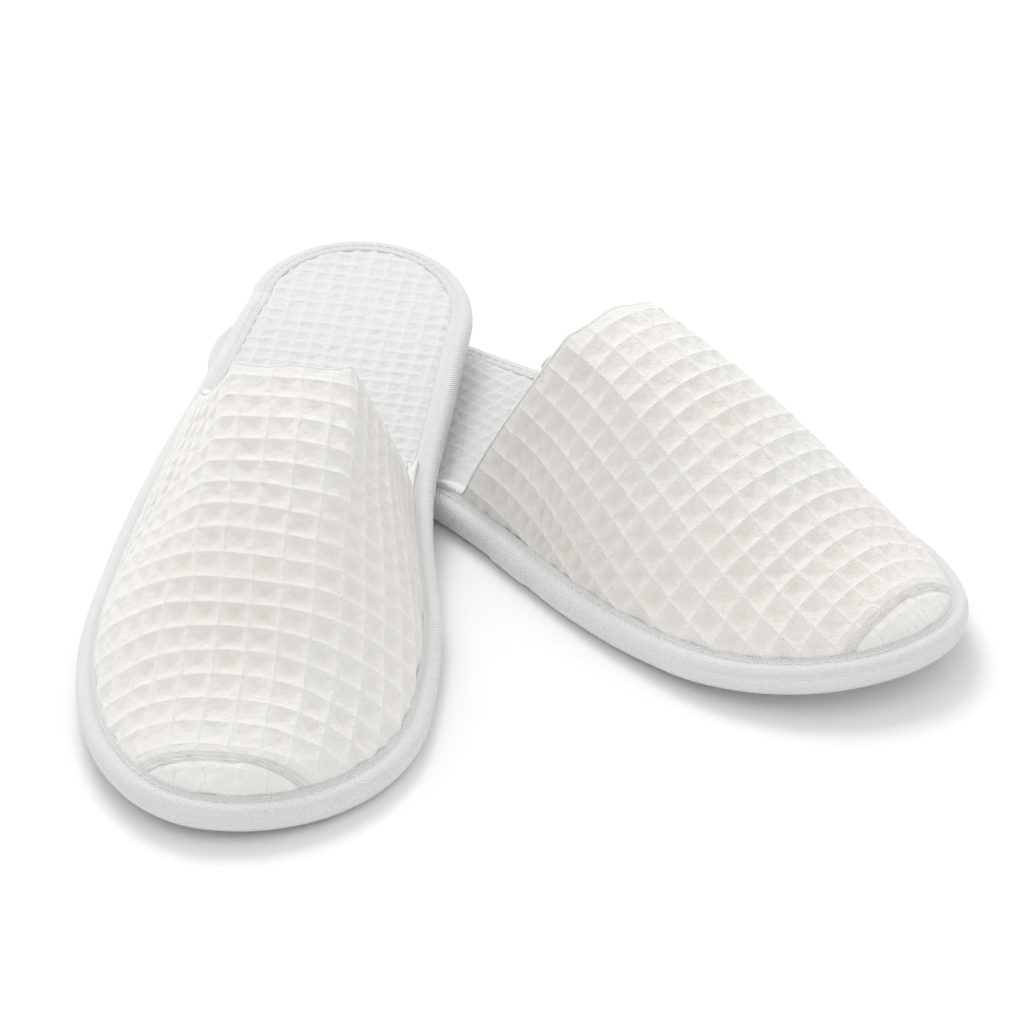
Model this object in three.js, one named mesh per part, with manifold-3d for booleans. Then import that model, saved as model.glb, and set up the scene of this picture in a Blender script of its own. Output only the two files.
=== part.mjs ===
// A pair of closed-toe spa slippers: waffle cloth uppers on padded soles, bound in twill tape.
// Millimetres, +Z up. The left slipper lies flat; the right one rests its heel on the left one's edge.
import * as THREE from 'three';
import { ParametricGeometry } from 'three/addons/geometries/ParametricGeometry.js';
import { mergeVertices } from 'three/addons/utils/BufferGeometryUtils.js';
import Module from 'manifold-3d';

const wasm = await Module();
wasm.setup();

// ---- Sole outline, seen from above: heel tip at y = 0, toe tip at y = soleLength, big-toe side +x ----
const soleLength = 287.8;
const toeTipOffset = 1.8;
const heelInner = { half: 36, y: 40.7 };
const heelOuter = { half: 34.8, y: 35.6 };
const waistInner = { half: 37, y: 100, lean: 0 };
const waistOuter = { half: 36.4, y: 46.1, lean: 0.096 };
const ballInner = { half: 53.9, toToe: 59 };
const ballOuter = { half: 50.2, toToe: 91.5 };

// ---- Toe spring: the sole curls up ahead of the ball of the foot ----
const toeRise = 8.3;
const toeSpringLength = 114;

// ---- Heights of the sole layers above the floor ----
const fit = 0.3;
const tuck = 0.6;
const rubberThickness = 4.8;
const foamThickness = 2.4;
const coverThickness = 1.4;
const pinchBelow = 1.65;
const pinchAbove = 0.6;

// ---- Binding tape, folded in a C round the sole's edge ----
const tapeThickness = 0.6;
const tapeFoldRadius = 1.6;
const tapeWidthAbove = 5;
const tapeWidthBelow = 6.5;
const threadWidth = 0.6;
const threadHeight = 0.45;
const stitchMargin = 3.6;

// ---- Upper: three cloth layers over the forefoot ----
const waffleThickness = 1.4;
const paddingThickness = 1.4;
const liningThickness = 0.8;
const instepToToe = 123.5;
const instepHeight = 65.8;
const crownBehind = { toToe: 190, height: 76 };
const crownVamp = { toToe: 85, height: 51 };
const crownToes = { toToe: 38, height: 21 };
const crownTip = 6;
const archPower = 2.24;
const archRoot = 0.83;
const toeRoundness = 11;
const hemEdge = 1.2;

// ---- Throat: how far the opening's edge sweeps back towards the heel at each side ----
const throatInner = { reach: 35, back: 42 };
const throatOuter = { reach: 35.2, back: 60 };
const throatPower = 4;
const throatOverrun = 1.2;

// ---- How the pair lies ----
const leftPlace = { x: 64.5, y: -39.2, turn: 226.6 };
const rightPlace = { x: -73, y: -90.9, turn: 171.7, roll: -2.1 };
const pivotToHeel = 207.8;
const steepestPitch = 25;
const heelGap = 0.5;

// ---- Fineness of the faceting ----
const outlineSteps = 7;
const lookupSteps = 30;
const soleSlices = 30;
const domeSlices = 12;
const domeColumns = 10;
const crownSteps = 120;
const throatSteps = 24;
const settleSteps = 40;
const endTrim = 0.3;
const weldDistance = 1e-4;

const rubberTop = rubberThickness;
const foamBottom = rubberTop + fit;
const foamTop = foamBottom + foamThickness;
const coverBottom = foamTop + fit;
const coverTop = coverBottom + coverThickness;
const tapeTop = coverTop - pinchAbove + fit + tapeThickness;
const tapeBottom = pinchBelow - fit - tapeThickness;
const upperBase = coverTop + fit;
const paddingDepth = waffleThickness + fit;
const liningDepth = paddingDepth + paddingThickness + fit;
const upperDepth = liningDepth + liningThickness;
const upperInset = tapeWidthAbove + tuck;
const layerInset = tapeFoldRadius + fit;

// The curve of one side of the sole, from the heel tip to the toe tip.
function sideCurves(sign, heel, waist, ball) {
  const arc = 0.5523;
  const ease = 0.45;
  const ballY = soleLength - ball.toToe;
  const tip = toeTipOffset;
  const at = (x, y) => new THREE.Vector2(x, y);
  const heelX = sign * heel.half;
  const waistX = sign * waist.half;
  const ballX = sign * ball.half;
  const lean = sign * waist.lean;
  const behind = (waist.y - heel.y) * ease;
  const ahead = (ballY - waist.y) * ease;
  const path = new THREE.CurvePath();
  path.add(new THREE.CubicBezierCurve(
    at(0, 0), at(heelX * arc, 0), at(heelX, heel.y * (1 - arc)), at(heelX, heel.y)));
  path.add(new THREE.CubicBezierCurve(
    at(heelX, heel.y), at(heelX, heel.y + behind),
    at(waistX - lean * behind, waist.y - behind), at(waistX, waist.y)));
  path.add(new THREE.CubicBezierCurve(
    at(waistX, waist.y), at(waistX + lean * ahead, waist.y + ahead),
    at(ballX, ballY - ahead), at(ballX, ballY)));
  path.add(new THREE.CubicBezierCurve(
    at(ballX, ballY), at(ballX, ballY + ball.toToe * arc),
    at(tip + (ballX - tip) * arc, soleLength), at(tip, soleLength)));
  return path;
}

const innerCurve = sideCurves(1, heelInner, waistInner, ballInner);
const outerCurve = sideCurves(-1, heelOuter, waistOuter, ballOuter);

// The sole's outline as a counter-clockwise loop, moved inwards by inset.
function outlineLoop(inset, steps) {
  const inner = innerCurve.getPoints(steps);
  const outer = outerCurve.getPoints(steps).reverse();
  const loop = [...inner, ...outer.slice(1, -1)];
  return loop.map((point, i) => {
    const before = loop[(i + loop.length - 1) % loop.length];
    const after = loop[(i + 1) % loop.length];
    const along = after.clone().sub(before).normalize();
    return new THREE.Vector2(point.x - along.y * inset, point.y + along.x * inset);
  });
}

// Linear reading of a list of points at a given y.
function readAt(points, y) {
  const next = points.findIndex((point) => point.y >= y);
  if (next < 0) return points[points.length - 1].x;
  if (next === 0) return points[0].x;
  const a = points[next - 1];
  const b = points[next];
  return THREE.MathUtils.lerp(a.x, b.x, (y - a.y) / (b.y - a.y));
}

// The two sides of the outline at one inset, ready to be read by y.
function insetSides(inset) {
  const loop = outlineLoop(inset, lookupSteps);
  const toe = loop.reduce((best, point, i) => (point.y > loop[best].y ? i : best), 0);
  const inner = loop.slice(0, toe + 1);
  const outer = [...loop.slice(toe), loop[0]].reverse();
  return {
    heelY: loop[0].y + endTrim,
    toeY: loop[toe].y - endTrim,
    inner: (y) => readAt(inner, y),
    outer: (y) => readAt(outer, y),
  };
}

function toeSpring(y) {
  const ahead = Math.max(0, (y - soleLength + toeSpringLength) / toeSpringLength);
  return toeRise * ahead * ahead;
}

// A grid of slices spaced closer together at both ends.
function sliceAt(v, start, end) {
  return THREE.MathUtils.lerp(start, end, (1 - Math.cos(Math.PI * v)) / 2);
}

// Moves every vertex of a geometry by place(x, y, z) and merges what coincides.
function reshape(geometry, place) {
  const points = geometry.getAttribute('position');
  for (let i = 0; i < points.count; i += 1) {
    const moved = place(points.getX(i), points.getY(i), points.getZ(i));
    points.setXYZ(i, moved.x, moved.y, moved.z);
  }
  return weld(geometry);
}

function weld(geometry) {
  const bare = geometry.clone();
  bare.deleteAttribute('normal');
  bare.deleteAttribute('uv');
  return mergeVertices(bare, weldDistance);
}

function toSolid(geometry) {
  return new wasm.Manifold(new wasm.Mesh({
    numProp: 3,
    vertProperties: new Float32Array(geometry.getAttribute('position').array),
    triVerts: new Uint32Array(geometry.index.array),
  }));
}

function toGeometry(solid) {
  const mesh = solid.getMesh();
  const geometry = new THREE.BufferGeometry();
  geometry.setAttribute('position', new THREE.BufferAttribute(mesh.vertProperties, 3));
  geometry.setIndex(new THREE.BufferAttribute(mesh.triVerts, 1));
  return geometry;
}

// One flat layer of the sole, curled up at the toe.
function soleSlab(inset, bottom, top) {
  const sides = insetSides(inset);
  const box = new THREE.BoxGeometry(1, 1, 1, 1, soleSlices, 1);
  return reshape(box, (u, v, w) => {
    const y = sliceAt(v + 0.5, sides.heelY, sides.toeY);
    const x = THREE.MathUtils.lerp(sides.outer(y), sides.inner(y), u + 0.5);
    const z = (w < 0 ? bottom : top) + toeSpring(y);
    return new THREE.Vector3(x, y, z);
  });
}

// Rubber sheet, thinned along its edge where the tape is sewn over it.
function outsole() {
  const edge = toSolid(soleSlab(layerInset, pinchBelow, rubberTop));
  const tread = toSolid(soleSlab(tapeWidthBelow + tuck, 0, (pinchBelow + rubberTop) / 2));
  return toGeometry(edge.add(tread));
}

function midsoleFoam() {
  return soleSlab(layerInset, foamBottom, foamTop);
}

// Cloth over the foam, pressed down along its edge by the tape.
function insoleCover() {
  const edgeTop = coverTop - pinchAbove;
  const edge = toSolid(soleSlab(layerInset, coverBottom, edgeTop));
  const footbed = toSolid(soleSlab(upperInset, (coverBottom + edgeTop) / 2, coverTop));
  return toGeometry(edge.add(footbed));
}

// Sweeps a closed section of (depth, height) points round the sole's outline.
function edgeRing(section) {
  const loops = section.map((point) => outlineLoop(point.x, outlineSteps));
  const count = loops[0].length;
  const ring = new ParametricGeometry((u, v, target) => {
    const i = Math.round(v * count) % count;
    const j = Math.round(u * section.length) % section.length;
    const point = loops[j][i];
    target.set(point.x, point.y, section[j].y + toeSpring(point.y));
  }, section.length, count);
  return weld(ring);
}

function bindingTape() {
  const r = tapeFoldRadius;
  const t = tapeThickness;
  const at = (depth, height) => new THREE.Vector2(depth, height);
  return edgeRing([
    at(0, tapeTop - r), at(0, tapeBottom + r), at(r, tapeBottom), at(tapeWidthBelow, tapeBottom),
    at(tapeWidthBelow, tapeBottom + t), at(r, tapeBottom + t), at(t, tapeBottom + r),
    at(t, tapeTop - r), at(r, tapeTop - t), at(tapeWidthAbove, tapeTop - t),
    at(tapeWidthAbove, tapeTop), at(r, tapeTop),
  ]);
}

// One thread of the lockstitch that closes the tape, as a flat band along the seam.
function seamThread(bottom) {
  const near = stitchMargin - threadWidth / 2;
  const far = stitchMargin + threadWidth / 2;
  const top = bottom + threadHeight;
  return edgeRing([
    new THREE.Vector2(near, top), new THREE.Vector2(near, bottom),
    new THREE.Vector2(far, bottom), new THREE.Vector2(far, top),
  ]);
}

// Height of the upper's ridge line above the footbed, read by y.
const crownLine = new THREE.SplineCurve([
  new THREE.Vector2(crownBehind.height, soleLength - crownBehind.toToe),
  new THREE.Vector2(instepHeight, soleLength - instepToToe),
  new THREE.Vector2(crownVamp.height, soleLength - crownVamp.toToe),
  new THREE.Vector2(crownToes.height, soleLength - crownToes.toToe),
  new THREE.Vector2(crownTip, soleLength - upperInset),
]).getPoints(crownSteps);

function rollDown(distance, radius) {
  const t = THREE.MathUtils.clamp(distance / radius, 0, 1);
  return Math.sqrt(1 - (1 - t) * (1 - t));
}

// The solid under the upper's surface, at a depth inside its outer face, reaching below its base.
function domeSolid(depth, below) {
  const sides = insetSides(upperInset + depth);
  const startY = soleLength - crownBehind.toToe;
  const wall = hemEdge * (1 - depth / (upperDepth + fit));
  const box = new THREE.BoxGeometry(2, 1, 1, domeColumns, domeSlices, 1);
  return toSolid(reshape(box, (u, v, w) => {
    const across = Math.sin(u * Math.PI / 2);
    const y = THREE.MathUtils.lerp(startY, sides.toeY, Math.sin((v + 0.5) * Math.PI / 2));
    const middle = (sides.inner(y) + sides.outer(y)) / 2;
    const half = (sides.inner(y) - sides.outer(y)) / 2;
    const arch = (1 - Math.abs(across) ** archPower) ** archRoot;
    const ridge = (readAt(crownLine, y) - depth - wall) * rollDown(sides.toeY - y, toeRoundness);
    const top = wall + Math.max(0, ridge) * arch;
    const z = upperBase + toeSpring(y) + (w < 0 ? -below : top);
    return new THREE.Vector3(middle + across * half, y, z);
  }));
}

// Everything behind the throat's edge, moved forwards by ahead.
function behindThroat(ahead) {
  const edge = [];
  for (let i = 0; i <= throatSteps; i += 1) {
    const side = 1 - 2 * i / throatSteps;
    const throat = side > 0 ? throatInner : throatOuter;
    const x = side * throat.reach * throatOverrun;
    const swing = Math.abs(x / throat.reach) ** throatPower;
    edge.push(new THREE.Vector2(x, soleLength - instepToToe - throat.back * swing));
  }
  const moved = edge.map((point, i) => {
    const next = edge[Math.min(i + 1, throatSteps)];
    const along = next.clone().sub(edge[Math.max(i - 1, 0)]).normalize();
    return new THREE.Vector2(point.x + along.y * ahead, point.y - along.x * ahead);
  });
  const wide = ballInner.half + ballOuter.half;
  const shape = new THREE.Shape([
    new THREE.Vector2(-wide, moved[throatSteps].y), new THREE.Vector2(-wide, -soleLength),
    new THREE.Vector2(wide, -soleLength), new THREE.Vector2(wide, moved[0].y), ...moved,
  ]);
  const depth = crownBehind.height + upperBase + 2 * toeRise;
  const block = new THREE.ExtrudeGeometry(shape, { depth, bevelEnabled: false, steps: 1 });
  return toSolid(weld(block));
}

// The outer cloth, with its throat edge turned over the padding and the lining.
function upperWaffle() {
  const outside = domeSolid(0, 0);
  const cloth = outside.subtract(domeSolid(waffleThickness, fit));
  const hollow = outside.subtract(domeSolid(upperDepth, fit));
  const turned = hollow.intersect(behindThroat(waffleThickness));
  return toGeometry(cloth.add(turned).subtract(behindThroat(0)));
}

function upperLayer(depth, thickness) {
  const layer = domeSolid(depth, 0).subtract(domeSolid(depth + thickness, fit));
  return toGeometry(layer.subtract(behindThroat(waffleThickness + fit)));
}

const fabric = { roughness: 0.95, metalness: 0 };
const waffleCloth = new THREE.MeshStandardMaterial({ color: 0xe9e7e2, ...fabric });
const insoleCloth = new THREE.MeshStandardMaterial({ color: 0xe7e7e6, ...fabric });
const liningCloth = new THREE.MeshStandardMaterial({ color: 0xeeeeec, ...fabric });
const foam = new THREE.MeshStandardMaterial({ color: 0xf2f1ec, ...fabric });
const twillTape = new THREE.MeshStandardMaterial({ color: 0xebebeb, ...fabric });
const thread = new THREE.MeshStandardMaterial({ color: 0xf3f3f1, ...fabric });
const rubber = new THREE.MeshStandardMaterial({ color: 0xe6e4df, roughness: 0.75, metalness: 0 });

const pieces = [
  ['outsole', outsole(), rubber],
  ['midsole_foam', midsoleFoam(), foam],
  ['insole_cover', insoleCover(), insoleCloth],
  ['binding_tape', bindingTape(), twillTape],
  ['tape_top_thread', seamThread(tapeTop + fit), thread],
  ['tape_under_thread', seamThread(tapeBottom - fit - threadHeight), thread],
  ['upper_waffle', upperWaffle(), waffleCloth],
  ['upper_padding', upperLayer(paddingDepth, paddingThickness), foam],
  ['upper_lining', upperLayer(liningDepth, liningThickness), liningCloth],
];

// The same geometry seen in a mirror, with its faces still pointing out.
function mirrorImage(geometry) {
  const copy = geometry.clone();
  copy.scale(-1, 1, 1);
  const index = copy.index.array;
  for (let i = 0; i < index.length; i += 3) {
    [index[i + 1], index[i + 2]] = [index[i + 2], index[i + 1]];
  }
  return copy;
}

function slipper(side) {
  const body = new THREE.Group();
  body.position.y = -pivotToHeel;
  for (const [name, geometry, material] of pieces) {
    const mesh = new THREE.Mesh(side === 'left' ? geometry : mirrorImage(geometry), material);
    mesh.name = `${side}_${name}`;
    body.add(mesh);
  }
  const holder = new THREE.Group();
  holder.add(body);
  return holder;
}

function lay(holder, place, pitch, roll) {
  holder.rotation.set(
    -THREE.MathUtils.degToRad(pitch),
    THREE.MathUtils.degToRad(roll),
    THREE.MathUtils.degToRad(place.turn),
    'ZYX',
  );
  holder.position.set(place.x, place.y, 0);
  holder.updateMatrixWorld(true);
}

const left = slipper('left');
lay(left, leftPlace, 0, 0);

const right = slipper('right');
const soleSides = insetSides(0);
const stitchSides = insetSides(stitchMargin - threadWidth);
const stitchLoop = outlineLoop(stitchMargin - threadWidth, lookupSteps);
const foldLoop = outlineLoop(tapeFoldRadius, lookupSteps);

// Lays the right slipper down at one pitch, with the ball of its sole on the floor.
function settle(pitch) {
  lay(right, rightPlace, pitch, rightPlace.roll);
  const heightOf = (point, above) => right.children[0].localToWorld(
    new THREE.Vector3(-point.x, point.y, above + toeSpring(point.y))).z - right.position.z;
  const stitches = stitchLoop.map((point) => heightOf(point, 0));
  const fold = foldLoop.map((point) => heightOf(point, tapeBottom));
  right.position.z = -Math.min(...stitches, ...fold);
  right.updateMatrixWorld(true);
}

function isInside(sides, x, y) {
  return y > sides.heelY && y < sides.toeY && x < sides.inner(y) && x > sides.outer(y);
}

// Least height of the right sole above one line along the left slipper's bound edge.
function heelClearance(loop, height) {
  const gaps = loop.map((point) => {
    const edge = left.children[0].localToWorld(
      new THREE.Vector3(point.x, point.y, height + toeSpring(point.y)));
    const seen = right.children[0].worldToLocal(edge);
    if (!isInside(soleSides, -seen.x, seen.y)) return Infinity;
    const underside = isInside(stitchSides, -seen.x, seen.y) ? 0 : tapeBottom;
    return underside + toeSpring(seen.y) - seen.z;
  });
  return Math.min(...gaps);
}

// The heel is lowered until it rests on the other slipper's edge.
let low = 0;
let high = steepestPitch;
for (let i = 0; i < settleSteps; i += 1) {
  const pitch = (low + high) / 2;
  settle(pitch);
  const overTape = heelClearance(foldLoop, tapeTop);
  const overThread = heelClearance(stitchLoop, tapeTop + fit + threadHeight);
  if (Math.min(overTape, overThread) > heelGap) high = pitch;
  else low = pitch;
}
settle(high);

// The pair stands on z = 0, centred on the origin.
const pair = new THREE.Group();
pair.add(left, right);
pair.updateMatrixWorld(true);
const extent = new THREE.Box3().setFromObject(pair, true);
const centre = extent.getCenter(new THREE.Vector3());
pair.position.set(-centre.x, -centre.y, -extent.min.z);
pair.updateMatrixWorld(true);

export default pair;
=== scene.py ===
import bmesh
import bpy
import math
import numpy as np
from mathutils import Euler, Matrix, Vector


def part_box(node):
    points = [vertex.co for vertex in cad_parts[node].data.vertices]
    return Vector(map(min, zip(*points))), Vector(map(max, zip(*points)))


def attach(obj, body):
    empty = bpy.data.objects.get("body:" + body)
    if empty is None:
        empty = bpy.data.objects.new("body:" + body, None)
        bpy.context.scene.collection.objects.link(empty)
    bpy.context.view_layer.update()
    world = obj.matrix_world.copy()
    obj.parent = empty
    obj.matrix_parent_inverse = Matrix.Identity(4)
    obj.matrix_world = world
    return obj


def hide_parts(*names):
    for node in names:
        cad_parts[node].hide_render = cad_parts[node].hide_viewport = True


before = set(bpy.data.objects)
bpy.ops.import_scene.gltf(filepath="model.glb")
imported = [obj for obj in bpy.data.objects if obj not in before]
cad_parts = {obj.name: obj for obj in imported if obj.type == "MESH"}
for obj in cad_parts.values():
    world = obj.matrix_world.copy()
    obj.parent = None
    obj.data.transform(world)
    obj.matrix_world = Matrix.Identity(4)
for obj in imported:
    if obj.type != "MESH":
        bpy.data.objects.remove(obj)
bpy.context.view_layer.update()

# ---- Camera and floor ----
# The pair is shown from the toes, on a white sheet in a bright room.
scene = bpy.context.scene
view_point = Vector((-0.003871, 0.028799, 0.0))
view_distance = 1.42
view_height = math.radians(31.53)
camera_data = bpy.data.cameras.new("camera")
camera_data.lens = 166.4
camera_data.sensor_width = 36
camera_data.clip_end = 50
camera = bpy.data.objects.new("camera", camera_data)
scene.collection.objects.link(camera)
camera.location = view_point + view_distance * Vector((0, -math.cos(view_height), math.sin(view_height)))
camera.rotation_euler = Euler((math.pi / 2 - view_height, 0, 0))
scene.camera = camera


def new_material(name, roughness, colour=(0.8, 0.8, 0.8)):
    material = bpy.data.materials.new(name)
    material.use_nodes = True
    nodes = material.node_tree.nodes
    shader = nodes["Principled BSDF"]
    shader.inputs["Base Color"].default_value = (*colour, 1)
    shader.inputs["Roughness"].default_value = roughness
    shader.inputs["Specular IOR Level"].default_value = 0.25
    return material, shader


def node(material, kind, values=None, links=None, **settings):
    made = material.node_tree.nodes.new(kind)
    for key, value in settings.items():
        setattr(made, key, value)
    for key, value in (values or {}).items():
        made.inputs[key].default_value = value
    for key, socket in (links or {}).items():
        material.node_tree.links.new(socket, made.inputs[key])
    return made


def link(material, socket, target):
    material.node_tree.links.new(socket, target)


def bump(material, strength, depth, height, below=None):
    """A bump of so many metres, laid over the one below it."""
    links = {"Height": height}
    if below:
        links["Normal"] = below.outputs["Normal"]
    return node(material, "ShaderNodeBump", {"Strength": strength, "Distance": depth}, links)


def tint(material, low, high, share):
    """A colour that runs from low to high."""
    mixed = node(material, "ShaderNodeMix", {"A": (*low, 1), "B": (*high, 1)}, {"Factor": share},
                 data_type="RGBA")
    return mixed.outputs["Result"]


def face_up(bm):
    """Turns an open sheet's faces so that they look up."""
    bmesh.ops.recalc_face_normals(bm, faces=bm.faces)
    bm.faces.ensure_lookup_table()
    if bm.faces[len(bm.faces) // 3].normal.z < 0:
        bmesh.ops.reverse_faces(bm, faces=bm.faces)


def mesh_from(bm, name):
    mesh = bpy.data.meshes.new(name)
    bm.to_mesh(mesh)
    bm.free()
    return mesh


floor_paper, floor_shader = new_material("floor_paper", 0.9, (0.96, 0.96, 0.96))
floor_spots = node(floor_paper, "ShaderNodeTexNoise", {"Scale": 6.0, "Detail": 2.0},
                   {"Vector": node(floor_paper, "ShaderNodeTexCoord").outputs["Object"]})
floor_tone = node(floor_paper, "ShaderNodeMapRange", {"To Min": 0.955, "To Max": 0.965},
                  {"Value": floor_spots.outputs["Fac"]})
link(floor_paper, floor_tone.outputs["Result"], floor_shader.inputs["Base Color"])
bm = bmesh.new()
bmesh.ops.create_grid(bm, x_segments=4, y_segments=4, size=6)
floor_mesh = mesh_from(bm, "floor")
floor_mesh.materials.append(floor_paper)
floor = bpy.data.objects.new("floor", floor_mesh)
scene.collection.objects.link(floor)

# ---- Outsole ----
# A soft foamed-rubber sheet cut to the foot's outline, thinned where the tape is sewn over its edge.
# Its underside is moulded with rows of small round studs against slipping. Millimetres, heel at y = 0.
sole_length = 287.8
toe_tip_offset = 1.8
heel = {1: (36.0, 40.7), -1: (34.8, 35.6)}
waist = {1: (37.0, 100.0, 0.0), -1: (36.4, 46.1, 0.096)}
ball = {1: (53.9, 59.0), -1: (50.2, 91.5)}
toe_rise = 8.3
toe_spring_length = 114.0
rubber_top = 4.8
pinch_below = 1.65
edge_inset = 1.9
tape_below = 6.5
curve_steps = 150


def sole_side(sign, steps):
    """Points of one side of the sole from the heel tip to the toe tip."""
    arc, ease = 0.5523, 0.45
    heel_x, heel_y = sign * heel[sign][0], heel[sign][1]
    waist_x, waist_y, lean = sign * waist[sign][0], waist[sign][1], sign * waist[sign][2]
    ball_x, to_toe = sign * ball[sign][0], ball[sign][1]
    ball_y = sole_length - to_toe
    behind, ahead = (waist_y - heel_y) * ease, (ball_y - waist_y) * ease
    marks = [
        (0, 0), (heel_x * arc, 0), (heel_x, heel_y * (1 - arc)), (heel_x, heel_y),
        (heel_x, heel_y + behind), (waist_x - lean * behind, waist_y - behind), (waist_x, waist_y),
        (waist_x + lean * ahead, waist_y + ahead), (ball_x, ball_y - ahead), (ball_x, ball_y),
        (ball_x, ball_y + to_toe * arc),
        (toe_tip_offset + (ball_x - toe_tip_offset) * arc, sole_length),
        (toe_tip_offset, sole_length),
    ]
    marks = np.array(marks, float)
    t = np.linspace(0, 1, steps + 1)[:, None]
    parts = []
    for k in range(4):
        a, b, c, d = marks[3 * k:3 * k + 4]
        part = (1 - t) ** 3 * a + 3 * (1 - t) ** 2 * t * b + 3 * (1 - t) * t * t * c + t ** 3 * d
        parts.append(part if k == 0 else part[1:])
    return np.vstack(parts)


def inward_of(loop):
    """Unit directions into a counter-clockwise loop at each of its points."""
    along = np.roll(loop, -1, axis=0) - np.roll(loop, 1, axis=0)
    along /= np.hypot(*along.T)[:, None]
    return np.column_stack([-along[:, 1], along[:, 0]])


def sole_loop(inset, count=None, steps=curve_steps):
    """The sole's outline as a counter-clockwise loop moved inwards, evenly spaced if count is given."""
    loop = np.vstack([sole_side(1, steps), sole_side(-1, steps)[::-1][1:-1]])
    if count:
        closed = np.vstack([loop, loop[:1]])
        run = np.concatenate([[0], np.cumsum(np.hypot(*np.diff(closed, axis=0).T))])
        spots = np.linspace(0, run[-1], count, endpoint=False)
        loop = np.column_stack([np.interp(spots, run, closed[:, k]) for k in (0, 1)])
    return loop + inset * inward_of(loop)


def half_widths(inset):
    """Inner and outer edge as functions of y, and the y of the heel and toe ends."""
    loop = sole_loop(inset)
    toe = int(np.argmax(loop[:, 1]))
    inner = loop[:toe + 1]
    outer = np.vstack([loop[toe:], loop[:1]])[::-1]
    return (lambda y: np.interp(y, inner[:, 1], inner[:, 0]),
            lambda y: np.interp(y, outer[:, 1], outer[:, 0]),
            float(loop[:, 1].min()), float(loop[:, 1].max()))


def toe_spring(y):
    ahead = np.clip((y - sole_length + toe_spring_length) / toe_spring_length, 0, None)
    return toe_rise * ahead ** 2


def edge_distance(points, loop):
    """How far each point is from a loop, and the index of the nearest loop point."""
    distance = np.empty(len(points))
    nearest = np.empty(len(points), int)
    for start in range(0, len(points), 4000):
        part = points[start:start + 4000]
        gap = ((part[:, None, :] - loop[None, :, :]) ** 2).sum(axis=2)
        nearest[start:start + 4000] = gap.argmin(axis=1)
        distance[start:start + 4000] = np.sqrt(gap.min(axis=1))
    return distance, nearest


# How each slipper lies: the turn, roll and pitch of its sole about the ball of the foot.
lie = {"left": (226.6, 0.0, 0.0), "right": (171.7, -2.1, 5.7888)}
pivot_to_heel = 207.8
tape_heights = (0.75, 9.5)
tape_fold = 1.6


def lie_points(side, points):
    """Slipper coordinates in millimetres to the frame's metres, turned but not yet moved."""
    turn, roll, pitch = (math.radians(v) for v in lie[side])
    moved = points - np.array([0, pivot_to_heel, 0])
    if side == "right":
        moved = moved * np.array([-1, 1, 1])
    rotation = np.array(Euler((-pitch, roll, turn), "XYZ").to_matrix())
    return moved @ rotation.T / 1000


def edge_corners():
    """The outermost lines of the bound edge, from which each slipper's place is read."""
    low, high = tape_heights
    rows = []
    for inset, height in ((0, low + tape_fold), (0, high - tape_fold), (tape_fold, low), (tape_fold, high)):
        loop = sole_loop(inset, steps=7)
        rows.append(np.column_stack([loop, height + toe_spring(loop[:, 1])]))
    return np.vstack(rows)


shift = {}
for side in lie:
    turned = lie_points(side, edge_corners())
    low, high = (np.array(v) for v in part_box(side + "_binding_tape"))
    shift[side] = (low + high) / 2 - (turned.min(axis=0) + turned.max(axis=0)) / 2


def finish_piece(name, side, mesh, points, material, cad_node, uv=None, smooth=True):
    """Lays a mesh made in slipper coordinates in its place, and ties it to its slipper."""
    placed = lie_points(side, points) + shift[side]
    mesh.vertices.foreach_set("co", placed.astype(np.float32).ravel())
    if uv is not None:
        layer = mesh.uv_layers.new(name="weave")
        corner = np.empty(len(mesh.loops), int)
        mesh.loops.foreach_get("vertex_index", corner)
        layer.data.foreach_set("uv", uv[corner].astype(np.float32).ravel())
    mesh.update()
    if side == "right":
        mesh.flip_normals()
    mesh.polygons.foreach_set("use_smooth", np.full(len(mesh.polygons), smooth))
    mesh.materials.append(material)
    piece = bpy.data.objects.new(f"{side}_{name}", mesh)
    scene.collection.objects.link(piece)
    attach(piece, f"{side}_slipper")
    if cad_node:
        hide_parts(f"{side}_{cad_node}")
    return piece


def read_points(mesh):
    points = np.empty(len(mesh.vertices) * 3)
    mesh.vertices.foreach_get("co", points)
    return points.reshape(-1, 3)


def sole_slab(inset, columns, rows):
    """A closed block over the sole's outline: mesh, flat points, and which points are on top."""
    bm = bmesh.new()
    bmesh.ops.create_grid(bm, x_segments=columns, y_segments=rows, size=1)
    upper = bmesh.ops.extrude_face_region(bm, geom=bm.faces[:])
    bmesh.ops.translate(bm, verts=[v for v in upper["geom"] if isinstance(v, bmesh.types.BMVert)],
                        vec=(0, 0, 1))
    bmesh.ops.recalc_face_normals(bm, faces=bm.faces)
    mesh = mesh_from(bm, "slab")
    unit = read_points(mesh)
    inner, outer, heel_y, toe_y = half_widths(inset)
    along = (1 - np.cos(np.pi * (unit[:, 1] + 1) / 2)) / 2
    y = heel_y + 0.3 + (toe_y - heel_y - 0.6) * along
    x = outer(y) + (inner(y) - outer(y)) * (unit[:, 0] + 1) / 2
    return mesh, np.column_stack([x, y]), unit[:, 2] > 0.5


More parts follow.
